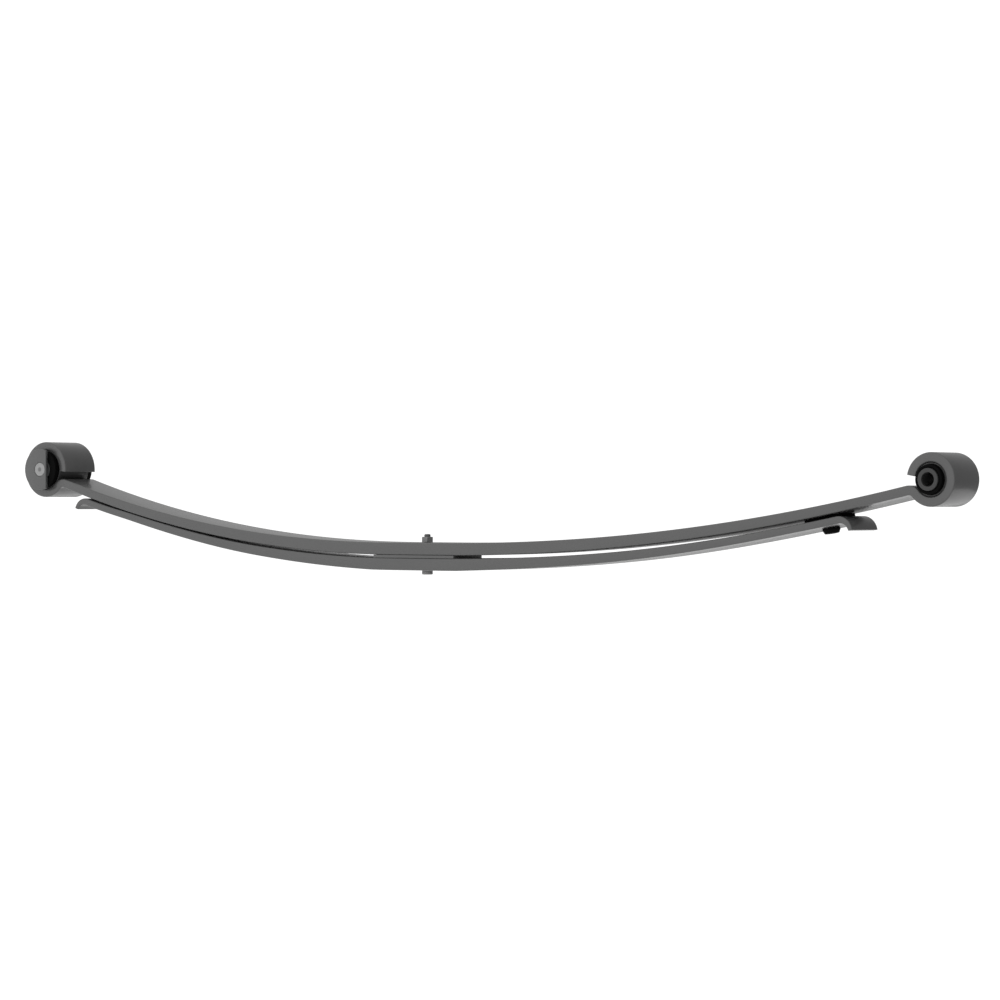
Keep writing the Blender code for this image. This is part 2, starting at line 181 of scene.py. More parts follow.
def turning_point(joint_name):
    """Where the record's joint turns: its distance from the centre bolt, and its height."""
    joints = frame["record"]["behaviour"]["joints"]
    place = next(joint["pos_m"] for joint in joints if joint["name"] == joint_name)
    return abs(place[X]), place[Z]


GAP = 0.0003
HALF_WIDTH = highest("main_leaf", Y)
SEAT_HALF = 0.040
CURVE_POWER = 2.1
TAPER_START = 0.080
MAIN_TAPER_SHORT_OF_EYE = 0.070
MAIN_TAPER_POWER = 1.2
MAIN_SEAT_THICKNESS = 0.0185
MAIN_EYE_THICKNESS = 0.0134
MAIN_TOP = lowest("centre_nut", Z) - GAP
EYE_BEND = 0.008
LEAF_CORNER = 0.0021
# How far the outside of each eye is drawn in, to stay within the solids' flat-sided rolls
EYE_SKIN = 0.0001
# Most of the thickness that a rounded corner may take up
CORNER_SHARE = 0.45
BEND_SEARCH_STEPS = 60
BEND_SEARCH_RADII = 2.5
ARM_STATIONS = 150
ARC_STEP = math.radians(2.5)

# Sign of X, the eye's distance out and height, the arm's rise, the eye's radius, and the
# angle where the roll stops, from straight outwards. Then the second leaf's curl, the gaps
# under the main leaf at distances out, the end of the pad, and the height of its stud's head.
FRONT_REACH, FRONT_HEIGHT = turning_point("front_bush_twist")
REAR_REACH, REAR_HEIGHT = turning_point("rear_bush_twist")
FRONT = {
    "sign": -1, "reach": FRONT_REACH, "height": FRONT_HEIGHT, "rise": 0.1096,
    "eye_radius": 0.0445, "roll_end": math.radians(185),
    "curl_start": 0.6565, "curl_turn": math.radians(88),
    "gaps": ((TAPER_START, 0.0044), (0.300, 0.0036), (0.560, 0.0012), (0.640, 0.0028)),
    "pad_end": 0.659, "stud_head": 0.0045,
}
REAR = {
    "sign": 1, "reach": REAR_REACH, "height": REAR_HEIGHT, "rise": 0.0905,
    "eye_radius": 0.0365, "roll_end": math.radians(170),
    "curl_start": 0.7195, "curl_turn": math.radians(92),
    "gaps": ((TAPER_START, 0.0044), (0.400, 0.0058), (0.640, 0.0050)),
    "pad_end": 0.7185, "stud_head": 0.0074,
}


def eye_centre(arm):
    return Vector((arm["reach"], arm["height"]))


def leaf_top(arm, out):
    """The main leaf's top at a distance out, and the unit vector square to it, downwards."""
    length = arm["reach"] - SEAT_HALF
    run = max(0.0, out - SEAT_HALF) / length
    slope = arm["rise"] * CURVE_POWER * run ** (CURVE_POWER - 1) / length
    top = Vector((out, MAIN_TOP + arm["rise"] * run**CURVE_POWER))
    return top, Vector((slope, -1)).normalized()


def tapered(out, end, thick, thin, power):
    """A thickness that falls from the taper's start to its end."""
    share = min(1.0, max(0.0, (out - TAPER_START) / (end - TAPER_START)))
    return thick + (thin - thick) * share**power


def main_thickness(arm, out):
    end = arm["reach"] - MAIN_TAPER_SHORT_OF_EYE
    return tapered(out, end, MAIN_SEAT_THICKNESS, MAIN_EYE_THICKNESS, MAIN_TAPER_POWER)


def turn_stations(centre, radius, start, end, outward, depth):
    """Stations round an arc. The leaf's top is at the radius, and the leaf lies outside it
    if outward, else inside. depth is the leaf's thickness at the arc's start and end."""
    count = max(2, math.ceil(abs(end - start) / ARC_STEP))
    found = []
    for i in range(count + 1):
        share = i / count
        angle = start + (end - start) * share
        away = Vector((math.cos(angle), math.sin(angle)))
        thickness = depth[0] + (depth[1] - depth[0]) * share
        found.append((centre + away * radius, away if outward else -away, thickness))
    return found


def main_arm_stations(arm):
    """From the bolt out to the eye's roll end: points on the leaf's top, the direction
    through its thickness, and that thickness."""
    eye, radius, t = eye_centre(arm), arm["eye_radius"], MAIN_EYE_THICKNESS
    near, far = arm["reach"] - BEND_SEARCH_RADII * radius, arm["reach"]
    for _ in range(BEND_SEARCH_STEPS):
        start = (near + far) / 2
        top, down = leaf_top(arm, start)
        bend = top + down * (t + EYE_BEND)
        near, far = (start, far) if (bend - eye).length > radius + EYE_BEND else (near, start)
    found = []
    for i in range(ARM_STATIONS + 1):
        out = start * i / ARM_STATIONS
        found.append((*leaf_top(arm, out), main_thickness(arm, out)))
    upward = math.atan2(-down.y, -down.x)
    to_eye = math.atan2(eye.y - bend.y, eye.x - bend.x)
    thin = t - EYE_SKIN
    found += turn_stations(bend, EYE_BEND + t, upward, to_eye, False, (t, thin))[1:]
    roll_end = arm["roll_end"] + math.tau
    found += turn_stations(eye, radius - t, to_eye + math.pi, roll_end, True, (thin, thin))[1:]
    return found


def in_place(arm, stations):
    """An arm's stations as points and directions in (x, z)."""
    sign = arm["sign"]
    return [(Vector((sign * p.x, p.y)), Vector((sign * d.x, d.y)), t) for p, d, t in stations]


def bar_section(mesh, point, down, thickness, half_width, corner, corner_steps):
    """A closed loop of vertices round the bar at one station: a rectangle with rounded corners."""
    corner = min(corner, thickness * CORNER_SHARE)
    loop = []
    corners = (
        (half_width - corner, thickness - corner, 0.0),
        (corner - half_width, thickness - corner, math.pi / 2),
        (corner - half_width, corner, math.pi),
        (half_width - corner, corner, 3 * math.pi / 2),
    )
    for y, depth, start in corners:
        for i in range(corner_steps + 1):
            angle = start + math.pi / 2 * i / corner_steps
            across = y + corner * math.cos(angle)
            along = depth + corner * math.sin(angle)
            place = point + down * along
            loop.append(mesh.verts.new((place.x, across, place.y)))
    return [mesh.edges.new((loop[i], loop[(i + 1) % len(loop)])) for i in range(len(loop))]


def rolled_bar(stations, half_width, corner, corner_steps=5, end_round=0.0005):
    """A bar that follows its stations, closed and eased at its cut ends."""
    mesh = bmesh.new()
    loops = [bar_section(mesh, *station, half_width, corner, corner_steps) for station in stations]
    for here, there in zip(loops, loops[1:]):
        bmesh.ops.bridge_loops(mesh, edges=here + there)
    ends = [edge for loop in (loops[0], loops[-1]) for edge in loop]
    bmesh.ops.edgeloop_fill(mesh, edges=ends)
    if end_round:
        bmesh.ops.bevel(
            mesh, geom=ends, offset=end_round, segments=3, profile=0.5, affect="EDGES", material=-1
        )
    bmesh.ops.recalc_face_normals(mesh, faces=mesh.faces)
    if mesh.calc_volume(signed=True) < 0:
        bmesh.ops.reverse_faces(mesh, faces=mesh.faces)
    return mesh


def add_piece(name, mesh, body, slot, material, *nodes, sharp=35):
    """Adds a finished piece, which rides on a body and stands for the named CAD nodes."""
    data = bpy.data.meshes.new(name)
    mesh.to_mesh(data)
    mesh.free()
    data.shade_smooth()
    data.set_sharp_from_angle(angle=math.radians(sharp))
    piece = bpy.data.objects.new(name, data)
    bpy.context.scene.collection.objects.link(piece)
    data.materials.append(material)
    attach(piece, body)
    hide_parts(*nodes)
    return piece


def cut(mesh, cutter, operation="DIFFERENCE"):
    """The mesh after a Boolean with the cutter. Both are used up."""
    made = []
    for part in (mesh, cutter):
        data = bpy.data.meshes.new("blank")
        part.to_mesh(data)
        part.free()
        blank = bpy.data.objects.new("blank", data)
        bpy.context.scene.collection.objects.link(blank)
        made.append(blank)
    boolean = made[0].modifiers.new("cut", "BOOLEAN")
    boolean.operation = operation
    boolean.object = made[1]
    graph = bpy.context.evaluated_depsgraph_get()
    result = bmesh.new()
    result.from_object(made[0], graph)
    for blank in made:
        data = blank.data
        bpy.data.objects.remove(blank)
        bpy.data.meshes.remove(data)
    return result


def rod(radius, low, high, place=Matrix(), segments=96):
    """A plain cylinder along local Z, used as a cutter or a blank."""
    mesh = bmesh.new()
    bmesh.ops.create_cone(
        mesh,
        cap_ends=True,
        segments=segments,
        radius1=radius,
        radius2=radius,
        depth=high - low,
        matrix=place @ Matrix.Translation((0, 0, (low + high) / 2)),
    )
    return mesh


# Grey chassis paint sprayed on shot-peened spring steel: an even satin film with a fine
# orange peel, faint lengthwise cloudiness from the rolled bar, and a softly dimpled base
leaf_paint, tree, shader = new_material("grey_chassis_paint_on_peened_spring_steel")
place = node(tree, "ShaderNodeTexCoord").outputs["Object"]
# Cloudiness about 25 mm across and 160 mm along the bar
along_bar = node(tree, "ShaderNodeMapping", Vector=place, Scale=(6, 40, 40)).outputs["Vector"]
clouds = node(tree, "ShaderNodeTexNoise", Vector=along_bar, Scale=1.0, Detail=4.0, Roughness=0.6)
tone = node(tree, "ShaderNodeMix", {"data_type": "RGBA"}, Factor=clouds.outputs["Fac"],
            _6=linear("#3e3e3e"), _7=linear("#464646"))
# Peening dimples of about 1.5 mm, drawn at 4 mm so that they show, under a 9 mm orange peel
dimples = node(tree, "ShaderNodeTexNoise", Vector=place, Scale=250.0, Detail=3.0, Roughness=0.55)
peel = node(tree, "ShaderNodeTexNoise", Vector=place, Scale=110.0, Detail=1.0)
relief = node(tree, "ShaderNodeMath", {"operation": "MULTIPLY_ADD"},
              _0=peel.outputs["Fac"], _1=0.8, _2=dimples.outputs["Fac"])
bump = node(tree, "ShaderNodeBump", Height=relief.outputs["Value"], Distance=0.00012, Strength=0.5)
dull = node(tree, "ShaderNodeMapRange", Value=clouds.outputs["Fac"], To_Min=0.30, To_Max=0.40)
tree.links.new(tone.outputs[2], shader.inputs["Base Color"])
tree.links.new(dull.outputs["Result"], shader.inputs["Roughness"])
tree.links.new(bump.outputs["Normal"], shader.inputs["Normal"])
shader.inputs["Coat Weight"].default_value = 0.35
shader.inputs["Coat Roughness"].default_value = 0.14

CENTRE_HOLE_RADIUS = 0.0053
main_stations = (
    in_place(FRONT, main_arm_stations(FRONT))[::-1] + in_place(REAR, main_arm_stations(REAR))[1:]
)
main_bar = rolled_bar(main_stations, HALF_WIDTH, LEAF_CORNER)
main_bar = cut(main_bar, rod(CENTRE_HOLE_RADIUS, 0.0, 0.08))
add_piece("main_leaf_bar", main_bar, "spring", "leaf_paint", leaf_paint, "main_leaf")


# --- Second leaf ----------------------------------------------------------------------
# A shorter parabolic-rolled bar of the same steel and paint. It carries extra load, and
# its thinned tips are curled down so that they slide quietly under the main leaf.

SECOND_SEAT_THICKNESS = 0.0183
SECOND_TIP_THICKNESS = 0.0105
SECOND_TAPER_END = 0.650
SECOND_TAPER_POWER = 0.85
CURL_RADIUS = 0.022
CURL_END_THICKNESS = 0.007
STUD_INSET = 0.029
STUD_HOLE_RADIUS = 0.0070


def second_thickness(out):
    thick, thin = SECOND_SEAT_THICKNESS, SECOND_TIP_THICKNESS
    return tapered(out, SECOND_TAPER_END, thick, thin, SECOND_TAPER_POWER)


def leaf_gap(arm, out):
    """The gap between the leaves, eased from each of the arm's stations to the next."""
    (here, gap), *following = arm["gaps"]
    for there, next_gap in following:
        run = min(1.0, max(0.0, (out - here) / (there - here)))
        gap += (next_gap - gap) * run * run * (3 - 2 * run)
        here = there
    return gap


def second_top(arm, out):
    """The second leaf's top at a distance out, and the direction through its thickness."""
    top, down = leaf_top(arm, out)
    return top + down * (main_thickness(arm, out) + leaf_gap(arm, out)), down


def second_arm_stations(arm):
    start = arm["curl_start"]
    found = []
    for i in range(ARM_STATIONS + 1):
        out = start * i / ARM_STATIONS
        found.append((*second_top(arm, out), second_thickness(out)))
    top, down = second_top(arm, start)
    upward = math.atan2(-down.y, -down.x)
    curl = top + down * CURL_RADIUS
    thinning = (SECOND_TIP_THICKNESS, CURL_END_THICKNESS)
    return found + turn_stations(
        curl, CURL_RADIUS, upward, upward - arm["curl_turn"], False, thinning
    )[1:]


def stud_place(arm):
    """Local Z runs up the stud, square to the leaf, from the second leaf's top."""
    out = arm["curl_start"] - STUD_INSET
    foot, down = second_top(arm, out)
    up = Vector((-arm["sign"] * down.x, 0, -down.y))
    turn = up.to_track_quat("Z", "Y").to_matrix().to_4x4()
    return Matrix.Translation((arm["sign"] * foot.x, 0, foot.y)) @ turn


second_stations = (
    in_place(FRONT, second_arm_stations(FRONT))[::-1]
    + in_place(REAR, second_arm_stations(REAR))[1:]
)
second_bar = rolled_bar(second_stations, HALF_WIDTH, LEAF_CORNER)
second_bar = cut(second_bar, rod(CENTRE_HOLE_RADIUS, -0.04, 0.03))
for arm in (FRONT, REAR):
    second_bar = cut(second_bar, rod(STUD_HOLE_RADIUS, -0.03, 0.01, stud_place(arm)))
add_piece("second_leaf_bar", second_bar, "spring", "leaf_paint", leaf_paint, "second_leaf")


# --- Centre spacer --------------------------------------------------------------------
# A flat steel strip that keeps the leaves apart at the axle, sawn to length and painted
# with them. The centre bolt passes through it.

# How near the strip is drawn to each leaf, so that no light shows past it
SPACER_CLEARANCE = 0.00002
SPACER_EDGE = 0.0004
SPACER_HALF = highest("centre_spacer", X)
SPACER_LOW = lowest("centre_spacer", Z) - GAP + SPACER_CLEARANCE
SPACER_HIGH = highest("centre_spacer", Z) + GAP - SPACER_CLEARANCE
spacer = bmesh.new()
bmesh.ops.create_cube(
    spacer,
    size=1,
    matrix=Matrix.Translation((0, 0, (SPACER_LOW + SPACER_HIGH) / 2))
    @ Matrix.Diagonal((2 * SPACER_HALF, 2 * HALF_WIDTH, SPACER_HIGH - SPACER_LOW, 1)),
)
bmesh.ops.bevel(
    spacer, geom=spacer.edges[:], offset=SPACER_EDGE, segments=3, profile=0.5, affect="EDGES",
    material=-1,
)
spacer = cut(spacer, rod(CENTRE_HOLE_RADIUS, 0.0, 0.04))
add_piece("spacer_strip", spacer, "spring", "leaf_paint", leaf_paint, "centre_spacer")


# --- Centre bolt and nut --------------------------------------------------------------
# An M10 fine-thread bolt in dark phosphated steel, round-headed below so that it locates
# in the axle seat's hole, with a rolled thread and a chamfered hexagon nut on top.

BOLT_RADIUS = 0.005
BOLT_THREAD_ROOT = 0.00423
BOLT_PITCH = 0.00125
BOLT_HEAD_RADIUS = highest("centre_bolt", Y)
BOLT_EDGE = 0.0008
THREAD_SKIN = 0.0001
POINT_LENGTH = 0.0020
POINT_DEPTH = 0.0016
POINT_CLEARANCE = 0.0004
NUT_FLATS = 0.016
NUT_CHAMFER = 0.0009
NUT_TURN = math.radians(36)
NUT_LOW = lowest("centre_nut", Z)
NUT_HEIGHT = highest("centre_nut", Z) - NUT_LOW
BOLT_END = highest("centre_bolt", Z)
THREAD_LOW = BOLT_END - 0.016
THREAD_STEPS = 48


def turned(profile, place=Matrix(), steps=128):
    """A solid turned about local Z from (radius, height) points. It closes on itself unless
    both its ends are on the axis."""
    mesh = bmesh.new()
    line = [mesh.verts.new((radius, 0, height)) for radius, height in profile]
    edges = [mesh.edges.new(pair) for pair in zip(line, line[1:])]
    if profile[0][0] > 1e-9:
        edges.append(mesh.edges.new((line[-1], line[0])))
    bmesh.ops.spin(
        mesh, geom=line + edges, cent=(0, 0, 0), axis=(0, 0, 1), angle=math.tau, steps=steps,
        use_merge=True,
    )
    bmesh.ops.remove_doubles(mesh, verts=mesh.verts, dist=1e-6)
    bmesh.ops.recalc_face_normals(mesh, faces=mesh.faces)
    bmesh.ops.transform(mesh, matrix=place, verts=mesh.verts)
    return mesh


def eased(profile, amount, steps=3):
    """A profile with each sharp corner rounded by about this amount. Ends on the axis stay."""
    closed = profile[0][0] > 1e-9
    points = [Vector(p) for p in profile]
    found = []
    for i, corner in enumerate(points):
        if not closed and i in (0, len(points) - 1):
            found.append(tuple(corner))
            continue
        before, after = points[i - 1], points[(i + 1) % len(points)]
        cut_back = min(amount, (before - corner).length * 0.45, (after - corner).length * 0.45)
        a = corner + (before - corner).normalized() * cut_back
        b = corner + (after - corner).normalized() * cut_back
        for step in range(steps + 1):
            t = step / steps
            found.append(tuple(a * (1 - t) ** 2 + corner * 2 * t * (1 - t) + b * t * t))
    return found


def threaded(radius, root, pitch, low, high, steps):
    """A rod with a helical thread, cut square at low and high."""
    mesh = bmesh.new()
    start = low - 2 * pitch
    turns = math.ceil((high - low) / pitch) + 3
    quarter = pitch / 4
    section = ((root, 0), (root, quarter * 0.5), (radius, quarter * 1.9),
               (radius, quarter * 2.6), (root, pitch))
    line = [mesh.verts.new((r, 0, start + z)) for r, z in section]
    edges = [mesh.edges.new(pair) for pair in zip(line, line[1:])]
    bmesh.ops.spin(
        mesh, geom=line + edges, cent=(0, 0, 0), axis=(0, 0, 1), angle=math.tau * turns,
        steps=steps * turns, dvec=(0, 0, pitch / steps), use_merge=False,
    )
    bmesh.ops.remove_doubles(mesh, verts=mesh.verts, dist=1e-6)
    for height, up in ((low, -1), (high, 1)):
        bmesh.ops.bisect_plane(
            mesh, geom=mesh.verts[:] + mesh.edges[:] + mesh.faces[:], dist=1e-7,
            plane_co=(0, 0, height), plane_no=(0, 0, up), clear_outer=True,
        )
    rims = [edge for edge in mesh.edges if edge.is_boundary]
    bmesh.ops.holes_fill(mesh, edges=rims)
    bmesh.ops.recalc_face_normals(mesh, faces=mesh.faces)
    return mesh


# Dark zinc-phosphated steel: nearly black-grey, finely crystalline, with a dry sheen
bolt_steel, tree, shader = new_material("dark_phosphated_bolt_steel")
place = node(tree, "ShaderNodeTexCoord").outputs["Object"]
# Crystal mottling of about 0.6 mm
mottle = node(tree, "ShaderNodeTexNoise", Vector=place, Scale=900.0, Detail=4.0)
tone = node(tree, "ShaderNodeMix", {"data_type": "RGBA"}, Factor=mottle.outputs["Fac"],
            _6=linear("#626262"), _7=linear("#868686"))
bump = node(tree, "ShaderNodeBump", Height=mottle.outputs["Fac"], Distance=0.00004, Strength=0.4)
tree.links.new(tone.outputs[2], shader.inputs["Base Color"])
tree.links.new(bump.outputs["Normal"], shader.inputs["Normal"])
shader.inputs["Metallic"].default_value = 0.7
shader.inputs["Roughness"].default_value = 0.42

bolt_thread = threaded(
    BOLT_RADIUS, BOLT_THREAD_ROOT, BOLT_PITCH, THREAD_LOW, BOLT_END, THREAD_STEPS
)
blank_radius, blank_low = BOLT_RADIUS + POINT_CLEARANCE, THREAD_LOW - 0.001
point_blank = turned(
    [(0, BOLT_END), (BOLT_RADIUS - POINT_DEPTH, BOLT_END), (blank_radius, BOLT_END - POINT_LENGTH),
     (blank_radius, blank_low), (0, blank_low)], steps=THREAD_STEPS
)
bolt_thread = cut(bolt_thread, point_blank, "INTERSECT")
head_low = lowest("centre_bolt", Z)
shank, shank_top = BOLT_RADIUS - THREAD_SKIN, THREAD_LOW + 0.0006
bolt_body = turned(
    eased([(0, shank_top), (shank, shank_top), (shank, -GAP), (BOLT_HEAD_RADIUS, -GAP),
           (BOLT_HEAD_RADIUS, head_low + BOLT_EDGE), (BOLT_HEAD_RADIUS - BOLT_EDGE, head_low),
           (0, head_low)], 0.0003)
)
add_piece(
    "round_head_bolt", cut(bolt_body, bolt_thread, "UNION"), "spring", "bolt_steel", bolt_steel,
    "centre_bolt",
)


def hex_nut(flats, height, hole, chamfer, place):
    """A hexagon nut from local z = 0 up, its corners turned back at both ends."""
    mesh = bmesh.new()
    corner = flats / 2 / math.cos(math.pi / 6)
    bmesh.ops.create_cone(
        mesh, cap_ends=True, segments=6, radius1=corner, radius2=corner, depth=height,
        matrix=Matrix.Translation((0, 0, height / 2)),
    )
    turn_back = chamfer * 0.55 + 0.0006
    face, edge = flats / 2 - 0.0002, corner + 0.0002
    blank = turned([(0, height), (face, height), (edge, height - turn_back),
                    (edge, turn_back), (face, 0), (0, 0)])
    mesh = cut(mesh, blank, "INTERSECT")
    mouth, past = hole + chamfer, 0.001
    bore = turned([(0, height + past), (mouth, height + past), (mouth, height),
                   (hole, height - chamfer), (hole, chamfer), (mouth, 0),
                   (mouth, -past), (0, -past)])
    mesh = cut(mesh, bore)
    bmesh.ops.transform(mesh, matrix=place, verts=mesh.verts)
    return mesh


nut_place = Matrix.Translation((0, 0, NUT_LOW)) @ Matrix.Rotation(NUT_TURN, 4, "Z")
nut = hex_nut(NUT_FLATS, NUT_HEIGHT, BOLT_RADIUS + 0.0001, NUT_CHAMFER, nut_place)
add_piece("hexagon_nut", nut, "spring", "bolt_steel", bolt_steel, "centre_nut")


# --- Tip pads -------------------------------------------------------------------------
# Moulded black rubber pads that stop the leaf tips from squeaking. Each one's stud is
# pulled through a hole in the second leaf, and its wide head holds it from below.

PAD_LENGTH = 0.056
PAD_HALF_WIDTH = highest("front_tip_pad", Y)
PAD_CORNER = 0.0008
PAD_STEPS = 24
STUD_EASE = 0.0009
STUD_NECK = 0.0067
STUD_HEAD = 0.0124
STUD_END = 0.0100

# Natural rubber filled with carbon black: almost black, matt, faintly dusty and pored
pad_rubber, tree, shader = new_material("moulded_carbon_black_rubber")
place = node(tree, "ShaderNodeTexCoord").outputs["Object"]
# Bloom patches about 12 mm across, and pores of about 0.8 mm
bloom = node(tree, "ShaderNodeTexNoise", Vector=place, Scale=80.0, Detail=3.0)
tone = node(tree, "ShaderNodeMix", {"data_type": "RGBA"}, Factor=bloom.outputs["Fac"],
            _6=linear("#040404"), _7=linear("#090909"))
pores = node(tree, "ShaderNodeTexNoise", Vector=place, Scale=1200.0, Detail=2.0)
bump = node(tree, "ShaderNodeBump", Height=pores.outputs["Fac"], Distance=0.00005, Strength=0.5)
dull = node(tree, "ShaderNodeMapRange", Value=bloom.outputs["Fac"], To_Min=0.58, To_Max=0.74)
tree.links.new(tone.outputs[2], shader.inputs["Base Color"])
tree.links.new(dull.outputs["Result"], shader.inputs["Roughness"])
tree.links.new(bump.outputs["Normal"], shader.inputs["Normal"])
shader.inputs["Specular IOR Level"].default_value = 0.04

for label, arm in (("front", FRONT), ("rear", REAR)):
    pad_stations = []
    for i in range(PAD_STEPS + 1):
        out = arm["pad_end"] - PAD_LENGTH * (1 - i / PAD_STEPS)
        top, down = leaf_top(arm, out)
        depth = leaf_gap(arm, out) - 2 * GAP
        pad_stations.append((top + down * (main_thickness(arm, out) + GAP), down, depth))
    pad = rolled_bar(in_place(arm, pad_stations), PAD_HALF_WIDTH, PAD_CORNER, 3, 0.0)
    stud_out = arm["curl_start"] - STUD_INSET
    head_top = -second_thickness(stud_out) - GAP
    head_end = head_top - arm["stud_head"]
    head_edge = (2 * head_top + head_end) / 3
    inside = leaf_gap(arm, stud_out) / 2
    stud = turned(
        eased([(0, inside), (STUD_NECK, inside), (STUD_NECK, head_top), (STUD_HEAD, head_top),
               (STUD_HEAD, head_edge), (STUD_END, head_end), (0, head_end)], STUD_EASE),
        stud_place(arm),
    )
    add_piece(f"{label}_pad_and_stud", cut(pad, stud, "UNION"), "spring", "pad_rubber", pad_rubber,
              f"{label}_tip_pad")


# --- Front bush -----------------------------------------------------------------------
# A rubber bush pressed into the front eye: a thin steel sleeve, a black rubber body whose
# end flanges stand out past the eye, and a thick steel tube bonded in its middle.

OUTER_SLEEVE_WALL = 0.0023
SLEEVE_EASE = 0.0007
FRONT_BORE = FRONT["eye_radius"] - MAIN_EYE_THICKNESS
FRONT_INNER = 0.0170
FRONT_HOLE = 0.0113
FRONT_HALF = highest("front_bush_inner_sleeve", Y)
FRONT_TUBE_EASE = 0.0008
FLANGE_INSET = 0.0011
FLANGE_EASE = 0.0013


def across(arm, y=0.0):
    """The arm's eye axis: local Z runs along world Y from this y."""
    eye = eye_centre(arm)
    to_eye = Matrix.Translation((arm["sign"] * eye.x, y, eye.y))
    return to_eye @ Matrix.Rotation(-math.pi / 2, 4, "X")


def tube(outer, inner, half, ease, place):
    """A tube centred on its place, running to half each way, its four rims eased."""
    return turned(
        eased([(outer, half), (outer, -half), (inner, -half), (inner, half)], ease), place
    )


# Drawn steel tube under a thin dark coating: satin, with drawing lines along it
sleeve_steel, tree, shader = new_material("dark_coated_drawn_steel_tube")
place = node(tree, "ShaderNodeTexCoord").outputs["Object"]
# Drawing lines of about 1 mm along the tube, which runs across the leaf
along_tube = node(tree, "ShaderNodeMapping", Vector=place, Scale=(900, 30, 900)).outputs["Vector"]
lines = node(tree, "ShaderNodeTexNoise", Vector=along_tube, Scale=1.0, Detail=3.0)
tone = node(tree, "ShaderNodeMix", {"data_type": "RGBA"}, Factor=lines.outputs["Fac"],
            _6=linear("#2b2b2b"), _7=linear("#393939"))
bump = node(tree, "ShaderNodeBump", Height=lines.outputs["Fac"], Distance=0.00003, Strength=0.35)
tree.links.new(tone.outputs[2], shader.inputs["Base Color"])
tree.links.new(bump.outputs["Normal"], shader.inputs["Normal"])
shader.inputs["Metallic"].default_value = 0.35
shader.inputs["Roughness"].default_value = 0.42

# The bush's rubber is the same moulding as the pads'
bush_rubber = pad_rubber.copy()
bush_rubber.name = "moulded_bush_rubber"

sleeve_half = highest("front_bush_outer_sleeve", Y)
front_outer = FRONT_BORE - GAP
front_rubber = front_outer - OUTER_SLEEVE_WALL - GAP
add_piece(
    "front_eye_sleeve",
    tube(front_outer, front_outer - OUTER_SLEEVE_WALL, sleeve_half, SLEEVE_EASE, across(FRONT)),
    "spring", "sleeve_steel", sleeve_steel, "front_bush_outer_sleeve",
)
flange = FRONT_BORE - FLANGE_INSET
shoulder = sleeve_half + GAP
front_inside = FRONT_INNER + GAP
front_rubber_profile = [
    (flange, FRONT_HALF), (flange, shoulder), (front_rubber, shoulder),
    (front_rubber, -shoulder), (flange, -shoulder), (flange, -FRONT_HALF),
    (front_inside, -FRONT_HALF), (front_inside, FRONT_HALF),
]
add_piece(
    "front_flanged_rubber", turned(eased(front_rubber_profile, FLANGE_EASE), across(FRONT)),
    "spring", "bush_rubber", bush_rubber, "front_bush_rubber",
)
add_piece(
    "front_inner_tube",
    tube(FRONT_INNER, FRONT_HOLE, FRONT_HALF, FRONT_TUBE_EASE, across(FRONT)),
    "front_pin_set", "sleeve_steel", sleeve_steel, "front_bush_inner_sleeve",
)


# --- Front plates and pin -------------------------------------------------------------
# Two D-shaped steel plates, punched from sheet and painted grey, clamp on the ends of the
# bush's inner tube. A bright turned steel pin through them carries the front eye.

PLATE_RADIUS = 0.033
PLATE_FLAT = 0.0135
PLATE_EDGE = 0.0008
PLATE_INSIDE = lowest("front_far_plate", Y)
PLATE_OUTSIDE = highest("front_far_plate", Y)
PLATE_THICKNESS = PLATE_OUTSIDE - PLATE_INSIDE
PIN_RADIUS = FRONT_HOLE - GAP
PIN_CHAMFER = 0.0006
PIN_EASE = 0.0003
PIN_MARK_RADIUS = 0.0035
PIN_MARK_DEPTH = 0.0015

for label, side, cad_node in (("near", -1, "front_near_plate"), ("far", 1, "front_far_plate")):
    plate = bmesh.new()
    bmesh.ops.create_circle(plate, cap_ends=True, segments=160, radius=PLATE_RADIUS)
    bmesh.ops.bisect_plane(
        plate, geom=plate.verts[:] + plate.edges[:] + plate.faces[:], plane_co=(PLATE_FLAT, 0, 0),
        plane_no=(1, 0, 0), clear_outer=True,
    )
    grown = bmesh.ops.extrude_face_region(plate, geom=plate.faces[:])
    raised = [v for v in grown["geom"] if isinstance(v, bmesh.types.BMVert)]
    bmesh.ops.translate(plate, verts=raised, vec=(0, 0, PLATE_THICKNESS))
    bmesh.ops.recalc_face_normals(plate, faces=plate.faces)
    rims = [e for e in plate.edges if e.calc_face_angle(0) > math.radians(40)]
    bmesh.ops.bevel(
        plate, geom=rims, offset=PLATE_EDGE, segments=3, profile=0.5, affect="EDGES", material=-1
    )
    plate = cut(plate, rod(FRONT_HOLE, -0.01, 0.02))
    start = PLATE_INSIDE if side > 0 else -PLATE_OUTSIDE
    bmesh.ops.transform(plate, matrix=across(FRONT, start), verts=plate.verts)
    add_piece(f"{label}_d_plate", plate, "front_pin_set", "leaf_paint", leaf_paint, cad_node)

# Free-cutting steel turned bright: pale grey metal with fine rings on its faced ends, and painted
# shade in each end's centre mark
pin_steel, tree, shader = new_material("bright_turned_steel")
eye = eye_centre(FRONT)
place = node(tree, "ShaderNodeTexCoord").outputs["Object"]
to_pin = node(tree, "ShaderNodeMapping", Vector=place, Location=(eye.x, 0, -eye.y))
centred = to_pin.outputs["Vector"]
# Facing rings 0.5 mm apart
rings = node(tree, "ShaderNodeTexWave", {"wave_type": "RINGS", "rings_direction": "Y"},
             Vector=centred, Scale=320.0, Distortion=0.4, Detail=2.0)
turned_tone = node(tree, "ShaderNodeMix", {"data_type": "RGBA"}, Factor=rings.outputs["Fac"],
                   _6=linear("#828282"), _7=linear("#969696"))
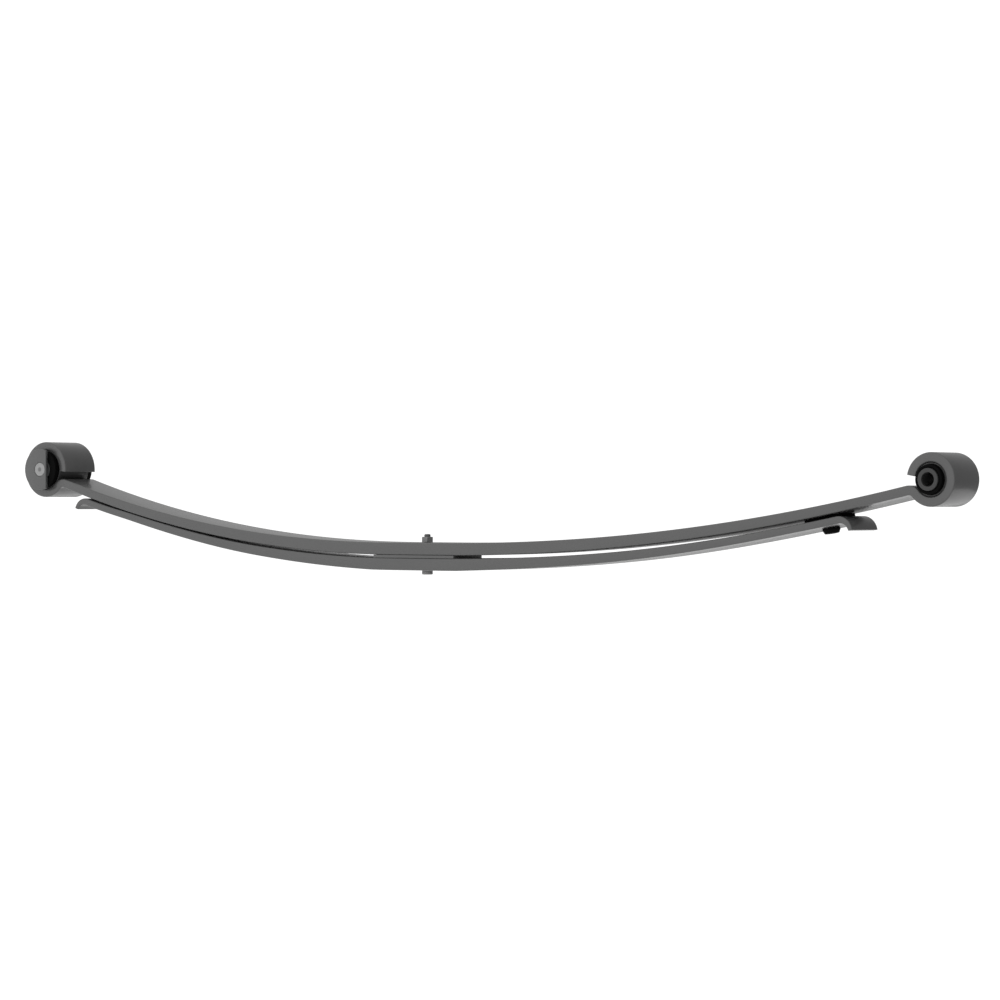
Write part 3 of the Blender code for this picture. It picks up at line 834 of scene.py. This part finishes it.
# Painted shade darkens the centre mark's recess, out to about 4 mm from the axis
flat_place = node(tree, "ShaderNodeVectorMath", {"operation": "MULTIPLY"},
                  _0=centred, _1=(1, 0, 1))
off_axis = node(tree, "ShaderNodeVectorMath", {"operation": "LENGTH"},
                _0=flat_place.outputs["Vector"])
beyond_painted_mark_shade = node(tree, "ShaderNodeMapRange", Value=off_axis.outputs["Value"],
             From_Min=0.0025, From_Max=0.0045)
# The painted shade's dark grey gives way to the turned tone beyond the centre mark
tone = node(tree, "ShaderNodeMix", {"data_type": "RGBA"}, Factor=beyond_painted_mark_shade.outputs["Result"],
            _6=linear("#6c6c6c"), _7=turned_tone.outputs[2])
bump = node(tree, "ShaderNodeBump", Height=rings.outputs["Fac"], Distance=0.00003, Strength=0.4)
tree.links.new(tone.outputs[2], shader.inputs["Base Color"])
tree.links.new(bump.outputs["Normal"], shader.inputs["Normal"])
shader.inputs["Metallic"].default_value = 0.75
shader.inputs["Roughness"].default_value = 0.38

pin_profile = [
    (0, PLATE_OUTSIDE - PIN_MARK_DEPTH), (PIN_MARK_RADIUS, PLATE_OUTSIDE),
    (PIN_RADIUS - PIN_CHAMFER, PLATE_OUTSIDE), (PIN_RADIUS, PLATE_OUTSIDE - PIN_CHAMFER),
    (PIN_RADIUS, PIN_CHAMFER - PLATE_OUTSIDE), (PIN_RADIUS - PIN_CHAMFER, -PLATE_OUTSIDE),
    (PIN_MARK_RADIUS, -PLATE_OUTSIDE), (0, PIN_MARK_DEPTH - PLATE_OUTSIDE),
]
add_piece(
    "bright_pin", turned(eased(pin_profile, PIN_EASE), across(FRONT)), "front_pin_set",
    "pin_steel", pin_steel, "front_pin",
)


# --- Rear bush ------------------------------------------------------------------------
# The shackle's bush in the smaller rear eye: a thin steel sleeve, a black rubber body that
# stands out past it, and a steel inner tube that the shackle's plates clamp.

REAR_BORE = REAR["eye_radius"] - MAIN_EYE_THICKNESS
REAR_INNER = 0.0152
REAR_HOLE = 0.0094
REAR_HALF = highest("rear_bush_inner_sleeve", Y)
REAR_RUBBER_HALF = highest("rear_bush_rubber", Y)
REAR_RUBBER_EASE = 0.0016
REAR_TUBE_EASE = 0.0010

rear_outer = REAR_BORE - GAP
add_piece(
    "rear_eye_sleeve",
    tube(rear_outer, rear_outer - OUTER_SLEEVE_WALL, sleeve_half, SLEEVE_EASE, across(REAR)),
    "spring", "sleeve_steel", sleeve_steel, "rear_bush_outer_sleeve",
)
rear_rubber = rear_outer - OUTER_SLEEVE_WALL - GAP
add_piece(
    "rear_rubber_body",
    tube(rear_rubber, REAR_INNER + GAP, REAR_RUBBER_HALF, REAR_RUBBER_EASE, across(REAR)),
    "spring", "bush_rubber", bush_rubber, "rear_bush_rubber",
)
add_piece(
    "rear_inner_tube", tube(REAR_INNER, REAR_HOLE, REAR_HALF, REAR_TUBE_EASE, across(REAR)),
    "rear_sleeve", "sleeve_steel", sleeve_steel, "rear_bush_inner_sleeve",
)
